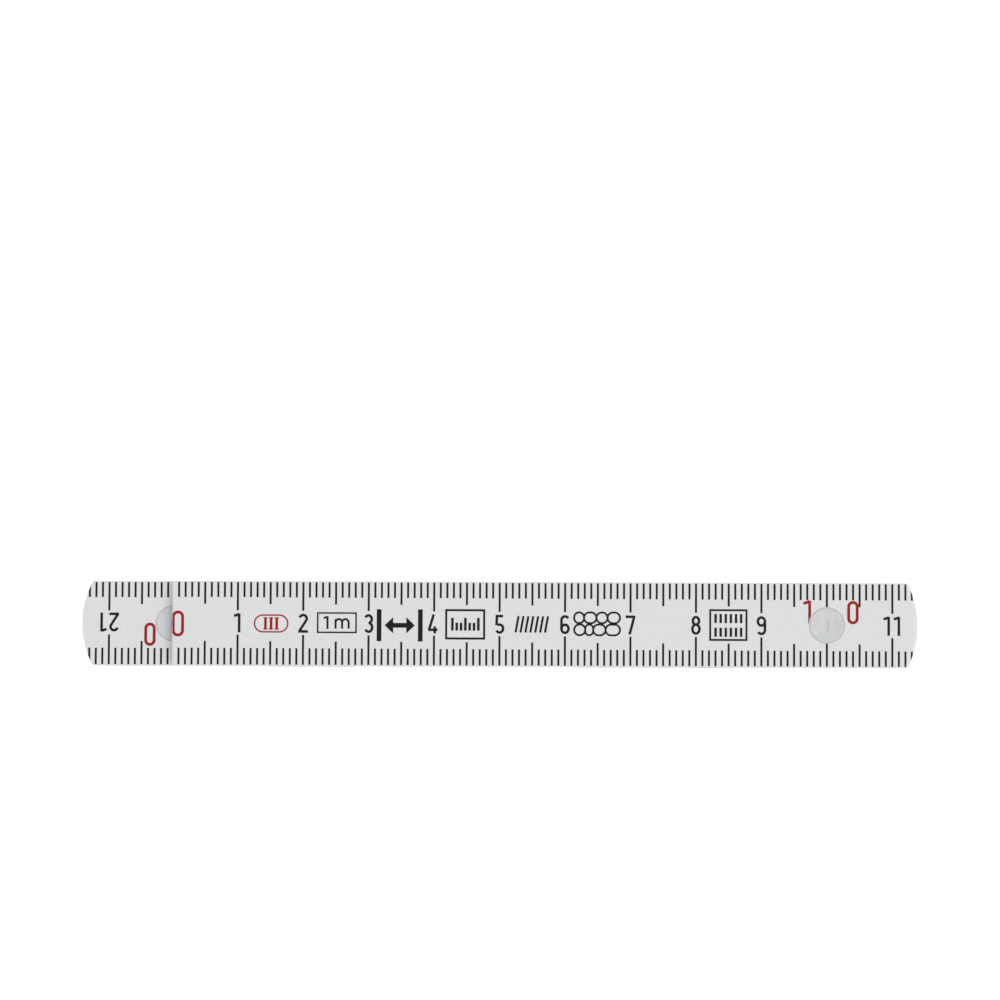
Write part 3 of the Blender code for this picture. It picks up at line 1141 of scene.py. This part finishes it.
def add_rivet(number, material):
    """The rivet of one joint, which turns with the lower section."""
    mesh = rivet_mesh()
    lower = number + 1
    mesh.transform(section_place(lower) @ at(0, THICKNESS + LAYER_PITCH))
    piece = add_piece(f"rule_rivet_{number:02}", mesh, [material], f"link_{lower:02}")
    shade(piece)
    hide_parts(f"hinge_rivet_{number:02}")


def add_print(number, inks, edge_strokes):
    """All the ink on one section, as a thin film."""
    near_round = number > 1
    far_round = number < SECTION_COUNT
    place = section_place(number)
    front = place @ Matrix.Translation((0, 0, THICKNESS + FILM_HEIGHT))
    back = place @ Matrix.Translation((0, 0, -FILM_HEIGHT)) @ Matrix.Rotation(pi, 4, "X")
    edge_y = -WIDTH / 2 - FILM_HEIGHT
    edge = Matrix.Translation((0, edge_y, 0)) @ Matrix.Rotation(pi / 2, 4, "X")
    head = HEAD_RADIUS + SEAT_MARGIN
    tail = TAIL_RADIUS + SEAT_MARGIN
    front_discs = [(Vector((PIVOT_PITCH, 0)), head)] if far_round else []
    back_discs = [(Vector((0, 0)), tail)] if near_round else []

    sheets = []
    for ink, strokes in enumerate(front_print(number)):
        strokes = face_print(strokes, number, near_round, far_round, front_discs)
        if number == 1:
            strokes = bend(strokes)
        sheets.append((ink, strokes, front))
    for ink, strokes in enumerate(back_print(number)):
        strokes = face_print(strokes, number, near_round, far_round, back_discs)
        sheets.append((ink, strokes, back))
    sheets.append((0, edge_print(edge_strokes, number), edge))

    work = bmesh.new()
    for ink, strokes, sheet in sheets:
        for level, stroke in enumerate(strokes):
            lift = Vector((0, 0, FILM_STEP * (level % 4)))
            for polygon in stroke:
                corners = [work.verts.new(sheet @ (point.to_3d() + lift)) for point in polygon]
                work.faces.new(corners).material_index = ink
    bmesh.ops.remove_doubles(work, verts=work.verts, dist=FILM_STEP / 5)
    mesh = bpy.data.meshes.new(f"rule_print_{number:02}")
    work.to_mesh(mesh)
    work.free()
    piece = add_piece(mesh.name, mesh, inks, f"link_{number:02}")
    film = piece.modifiers.new("Film", "SOLIDIFY")
    film.thickness = FILM_HEIGHT + FILM_SINK
    film.offset = -1


# ---------------------------------------------------------------- scene


def add_camera():
    """Almost straight above the face, as the photographer's was."""
    data = bpy.data.cameras.new("camera")
    data.lens = CAMERA_LENS
    data.sensor_width = SENSOR_WIDTH
    data.clip_start, data.clip_end = CAMERA_REACH
    camera = bpy.data.objects.new("camera", data)
    bpy.context.scene.collection.objects.link(camera)
    face = first_high.z
    location = Vector((0, CAMERA_Y, face + CAMERA_HEIGHT))
    aim = Vector((0, AIM_Y, face))
    turn = (aim - location).to_track_quat("-Z", "Y").to_matrix().to_4x4()
    camera.matrix_world = Matrix.Translation(location) @ turn @ Matrix.Rotation(CAMERA_ROLL, 4, "Z")
    bpy.context.scene.camera = camera


def add_floor():
    half = FLOOR_SIZE / 2
    corners = [(-half, -half, 0), (half, -half, 0), (half, half, 0), (-half, half, 0)]
    paper = bpy.data.objects.new("floor", mesh_from("floor", corners, [(0, 1, 2, 3)]))
    paper.data.materials.append(floor_material())
    bpy.context.scene.collection.objects.link(paper)


def add_light():
    """An even white room and one very soft lamp."""
    world = bpy.data.worlds.new("white_room")
    world.use_nodes = True
    tree = world.node_tree
    room = tree.nodes["Background"]
    backdrop = tree.nodes.new("ShaderNodeBackground")
    for background, strength in ((room, ROOM_STRENGTH), (backdrop, BACKDROP_STRENGTH)):
        background.inputs["Color"].default_value = (1, 1, 1, 1)
        background.inputs["Strength"].default_value = strength
    path = tree.nodes.new("ShaderNodeLightPath")
    mix = tree.nodes.new("ShaderNodeMixShader")
    tree.links.new(path.outputs["Is Camera Ray"], mix.inputs["Fac"])
    tree.links.new(room.outputs["Background"], mix.inputs[1])
    tree.links.new(backdrop.outputs["Background"], mix.inputs[2])
    tree.links.new(mix.outputs["Shader"], tree.nodes["World Output"].inputs["Surface"])
    bpy.context.scene.world = world
    data = bpy.data.lights.new("sun", "SUN")
    data.energy = SUN_STRENGTH
    data.angle = SUN_SOFTNESS
    sun = bpy.data.objects.new("sun", data)
    sun.rotation_mode = "QUATERNION"
    sun.rotation_quaternion = (-Vector(SUN_DIRECTION)).to_track_quat("-Z", "Y")
    bpy.context.scene.collection.objects.link(sun)
    bpy.context.scene.view_settings.view_transform = "Standard"


def build():
    plastic = section_material()
    acetal = rivet_material()
    steel = steel_material()
    inks = [
        ink_material("black_ink", BLACK_INK_TONES),
        ink_material("red_ink", RED_INK_TONES),
    ]
    edge_strokes = edge_capsules() + edge_bars() + edge_slants() + edge_rings()
    for number in range(1, SECTION_COUNT + 1):
        add_section(number, plastic)
        add_print(number, inks, edge_strokes)
    for number in range(1, SECTION_COUNT):
        add_rivet(number, acetal)
        washer = frame["nodes"][f"spring_washer_{number:02}"]
        washer.data.materials[0] = steel
    add_floor()
    add_light()
    add_camera()


build()
